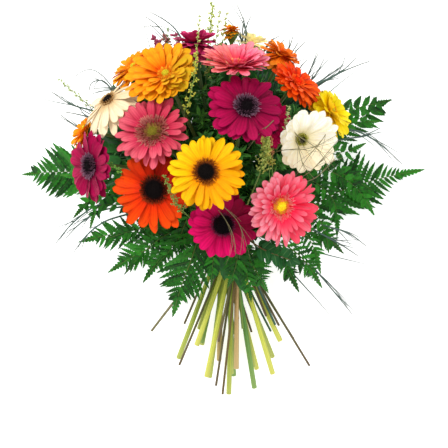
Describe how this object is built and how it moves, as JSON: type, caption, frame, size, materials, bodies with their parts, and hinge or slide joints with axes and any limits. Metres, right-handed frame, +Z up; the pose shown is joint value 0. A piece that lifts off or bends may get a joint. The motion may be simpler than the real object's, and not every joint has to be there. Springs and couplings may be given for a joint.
{
  "type": "gerbera bouquet",
  "caption": "Hand-tied bouquet of mixed gerbera daisies with fern, grass and filler sprigs, stems bound at the waist, lying on its back.",
  "frame": {"origin": "centre of the bounding box, on the surface that the bouquet lies on", "axes": "+Z up out of the surface, toward the faces of the blooms; +Y along the stems from the cut ends to the heads; +X to the right as seen from above"},
  "size_m": [0.5382, 0.5059, 0.2334],
  "materials": {
    "bloom_coral_left": "soft petals with fine veins, darker at the root",
    "bloom_coral_right": "soft petals with fine veins, darker at the root",
    "bloom_coral_top": "soft petals with fine veins, darker at the root",
    "bloom_cream_left": "soft petals with fine veins, darker at the root",
    "bloom_cream_right": "soft petals with fine veins, darker at the root",
    "bloom_cream_top": "soft petals with fine veins, darker at the root",
    "bloom_crimson_front": "soft petals with fine veins, darker at the root",
    "bloom_crimson_left": "soft petals with fine veins, darker at the root",
    "bloom_crimson_top": "soft petals with fine veins, darker at the root",
    "bloom_gold_back": "soft petals with fine veins, darker at the root",
    "bloom_gold_left": "soft petals with fine veins, darker at the root",
    "bloom_gold_top": "soft petals with fine veins, darker at the root",
    "bloom_magenta_inner": "soft petals with fine veins, darker at the root",
    "bloom_magenta_low": "soft petals with fine veins, darker at the root",
    "bloom_orange_back": "soft petals with fine veins, darker at the root",
    "bloom_orange_right": "soft petals with fine veins, darker at the root",
    "bloom_orange_top": "soft petals with fine veins, darker at the root",
    "bloom_vermilion_left": "soft petals with fine veins, darker at the root",
    "bloom_yellow_front": "soft petals with fine veins, darker at the root",
    "bloom_yellow_right": "soft petals with fine veins, darker at the root",
    "filler_front": "fine stem with small soft buds",
    "filler_top": "fine stem with small soft buds",
    "frond_back": "leathery leaflets with a slight gloss",
    "frond_back_left": "leathery leaflets with a slight gloss",
    "frond_collar": "leathery leaflets with a slight gloss",
    "frond_collar_left": "leathery leaflets with a slight gloss",
    "frond_collar_right": "leathery leaflets with a slight gloss",
    "frond_left": "leathery leaflets with a slight gloss",
    "frond_left_low": "leathery leaflets with a slight gloss",
    "frond_low_left": "leathery leaflets with a slight gloss",
    "frond_low_right": "leathery leaflets with a slight gloss",
    "frond_right": "leathery leaflets with a slight gloss",
    "frond_right_low": "leathery leaflets with a slight gloss",
    "frond_right_up": "leathery leaflets with a slight gloss",
    "grass_left": "thin dry blade, grey-green",
    "grass_low": "thin dry blade, grey-green",
    "grass_right": "thin dry blade, grey-green",
    "leafy_twig": "waxy round leaves",
    "scape_coral_left": "smooth leafless stalk with fine hairs, paler at the cut",
    "scape_coral_right": "smooth leafless stalk with fine hairs, paler at the cut",
    "scape_coral_top": "smooth leafless stalk with fine hairs, paler at the cut",
    "scape_cream_left": "smooth leafless stalk with fine hairs, paler at the cut",
    "scape_cream_right": "smooth leafless stalk with fine hairs, paler at the cut",
    "scape_cream_top": "smooth leafless stalk with fine hairs, paler at the cut",
    "scape_crimson_front": "smooth leafless stalk with fine hairs, paler at the cut",
    "scape_crimson_left": "smooth leafless stalk with fine hairs, paler at the cut",
    "scape_crimson_top": "smooth leafless stalk with fine hairs, paler at the cut",
    "scape_gold_back": "smooth leafless stalk with fine hairs, paler at the cut",
    "scape_gold_left": "smooth leafless stalk with fine hairs, paler at the cut",
    "scape_gold_top": "smooth leafless stalk with fine hairs, paler at the cut",
    "scape_magenta_inner": "smooth leafless stalk with fine hairs, paler at the cut",
    "scape_magenta_low": "smooth leafless stalk with fine hairs, paler at the cut",
    "scape_orange_back": "smooth leafless stalk with fine hairs, paler at the cut",
    "scape_orange_right": "smooth leafless stalk with fine hairs, paler at the cut",
    "scape_orange_top": "smooth leafless stalk with fine hairs, paler at the cut",
    "scape_vermilion_left": "smooth leafless stalk with fine hairs, paler at the cut",
    "scape_yellow_front": "smooth leafless stalk with fine hairs, paler at the cut",
    "scape_yellow_right": "smooth leafless stalk with fine hairs, paler at the cut",
    "tie_twine": "twisted natural twine"
  },
  "bodies": {
    "root": {"bloom_coral_left": "bloom_coral_left", "bloom_coral_right": "bloom_coral_right", "bloom_coral_top": "bloom_coral_top", "bloom_cream_left": "bloom_cream_left", "bloom_cream_right": "bloom_cream_right", "bloom_cream_top": "bloom_cream_top", "bloom_crimson_front": "bloom_crimson_front", "bloom_crimson_left": "bloom_crimson_left", "bloom_crimson_top": "bloom_crimson_top", "bloom_gold_back": "bloom_gold_back", "bloom_gold_left": "bloom_gold_left", "bloom_gold_top": "bloom_gold_top", "bloom_magenta_inner": "bloom_magenta_inner", "bloom_magenta_low": "bloom_magenta_low", "bloom_orange_back": "bloom_orange_back", "bloom_orange_right": "bloom_orange_right", "bloom_orange_top": "bloom_orange_top", "bloom_vermilion_left": "bloom_vermilion_left", "bloom_yellow_front": "bloom_yellow_front", "bloom_yellow_right": "bloom_yellow_right", "filler_front": "filler_front", "filler_top": "filler_top", "frond_back": "frond_back", "frond_back_left": "frond_back_left", "frond_collar": "frond_collar", "frond_collar_left": "frond_collar_left", "frond_collar_right": "frond_collar_right", "frond_left": "frond_left", "frond_left_low": "frond_left_low", "frond_low_left": "frond_low_left", "frond_low_right": "frond_low_right", "frond_right": "frond_right", "frond_right_low": "frond_right_low", "frond_right_up": "frond_right_up", "grass_left": "grass_left", "grass_low": "grass_low", "grass_right": "grass_right", "leafy_twig": "leafy_twig", "scape_coral_left": "scape_coral_left", "scape_coral_right": "scape_coral_right", "scape_coral_top": "scape_coral_top", "scape_cream_left": "scape_cream_left", "scape_cream_right": "scape_cream_right", "scape_cream_top": "scape_cream_top", "scape_crimson_front": "scape_crimson_front", "scape_crimson_left": "scape_crimson_left", "scape_crimson_top": "scape_crimson_top", "scape_gold_back": "scape_gold_back", "scape_gold_left": "scape_gold_left", "scape_gold_top": "scape_gold_top", "scape_magenta_inner": "scape_magenta_inner", "scape_magenta_low": "scape_magenta_low", "scape_orange_back": "scape_orange_back", "scape_orange_right": "scape_orange_right", "scape_orange_top": "scape_orange_top", "scape_vermilion_left": "scape_vermilion_left", "scape_yellow_front": "scape_yellow_front", "scape_yellow_right": "scape_yellow_right", "tie_twine": "tie_twine"}
  },
  "joints": []
}
